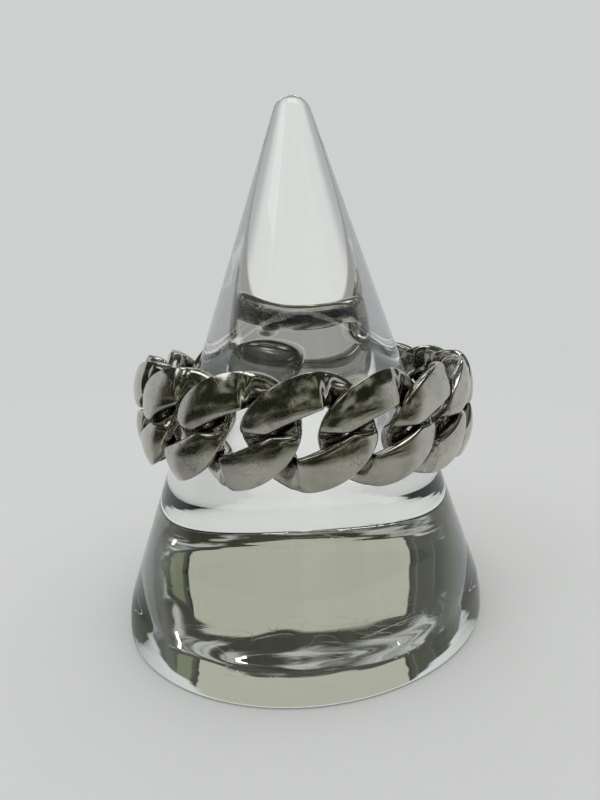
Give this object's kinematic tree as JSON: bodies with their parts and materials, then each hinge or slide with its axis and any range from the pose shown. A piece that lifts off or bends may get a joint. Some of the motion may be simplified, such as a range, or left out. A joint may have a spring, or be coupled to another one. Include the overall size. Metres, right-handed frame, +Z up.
{
  "type": "chain link ring on a cone stand",
  "caption": "Ring of interlocked, twisted and filed curb links, sitting a few degrees off level on a solid clear cone stand with a round tip.",
  "frame": {"origin": "centre of the flat foot of the stand, on the surface it stands on", "axes": "+Z up along the cone's axis and the ring's axis, towards the tip; the pictured side of the ring faces -Y, with +X to its right"},
  "size_m": [0.0282, 0.0282, 0.0385],
  "materials": {
    "clear_acrylic": "clear cast acrylic, polished all over",
    "silver": "polished silver with fine wear scratches and dark tarnish in the recesses"
  },
  "bodies": {
    "root": {"cone_stand": "clear_acrylic", "link_01": "silver", "link_02": "silver", "link_03": "silver", "link_04": "silver", "link_05": "silver", "link_06": "silver", "link_07": "silver", "link_08": "silver", "link_09": "silver", "link_10": "silver", "link_11": "silver", "link_12": "silver", "link_13": "silver", "link_14": "silver", "link_15": "silver", "link_16": "silver"}
  },
  "joints": []
}
